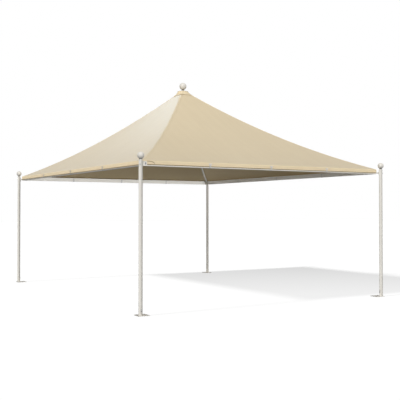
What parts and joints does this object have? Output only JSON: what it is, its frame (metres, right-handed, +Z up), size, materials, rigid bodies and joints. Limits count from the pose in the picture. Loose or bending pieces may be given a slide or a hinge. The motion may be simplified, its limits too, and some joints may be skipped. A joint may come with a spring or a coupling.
{
  "type": "gazebo",
  "caption": "Rectangular garden gazebo: slim round steel posts carry a box-section eave frame, curved hip tubes and a tensioned beige fabric roof, with ball finials.",
  "frame": {"origin": "on the ground at the middle of the rectangle of posts", "axes": "+X along the short side to the right, +Y along the long side to the back, +Z up; the front is the -Y side"},
  "size_m": [4.905, 6.105, 4.09],
  "materials": {
    "powder_coated_steel": "off-white powder coat, satin",
    "roof_fabric": "sand-beige coated polyester sheet with a soft sheen",
    "strap_webbing": "pale woven polyester webbing"
  },
  "bodies": {
    "root": {"base_plate_front_left": "powder_coated_steel", "base_plate_front_right": "powder_coated_steel", "base_plate_back_right": "powder_coated_steel", "base_plate_back_left": "powder_coated_steel", "post_front_left": "powder_coated_steel", "post_front_right": "powder_coated_steel", "post_back_right": "powder_coated_steel", "post_back_left": "powder_coated_steel", "post_ball_front_left": "powder_coated_steel", "post_ball_front_right": "powder_coated_steel", "post_ball_back_right": "powder_coated_steel", "post_ball_back_left": "powder_coated_steel", "corner_bracket_front_left": "powder_coated_steel", "corner_bracket_front_right": "powder_coated_steel", "corner_bracket_back_right": "powder_coated_steel", "corner_bracket_back_left": "powder_coated_steel", "eave_beam_front": "powder_coated_steel", "eave_beam_right": "powder_coated_steel", "eave_beam_back": "powder_coated_steel", "eave_beam_left": "powder_coated_steel", "hip_rafter_front_left": "powder_coated_steel", "hip_rafter_front_right": "powder_coated_steel", "hip_rafter_back_right": "powder_coated_steel", "hip_rafter_back_left": "powder_coated_steel", "crown_hub": "powder_coated_steel", "peak_ball": "powder_coated_steel", "crown_cap": "roof_fabric", "canopy_panel_front": "roof_fabric", "canopy_panel_right": "roof_fabric", "canopy_panel_back": "roof_fabric", "canopy_panel_left": "roof_fabric", "tie_strap_front_1": "strap_webbing", "tie_strap_front_2": "strap_webbing", "tie_strap_front_3": "strap_webbing", "tie_strap_right_1": "strap_webbing", "tie_strap_right_2": "strap_webbing", "tie_strap_right_3": "strap_webbing", "tie_strap_back_1": "strap_webbing", "tie_strap_back_2": "strap_webbing", "tie_strap_back_3": "strap_webbing", "tie_strap_left_1": "strap_webbing", "tie_strap_left_2": "strap_webbing", "tie_strap_left_3": "strap_webbing"}
  },
  "joints": []
}
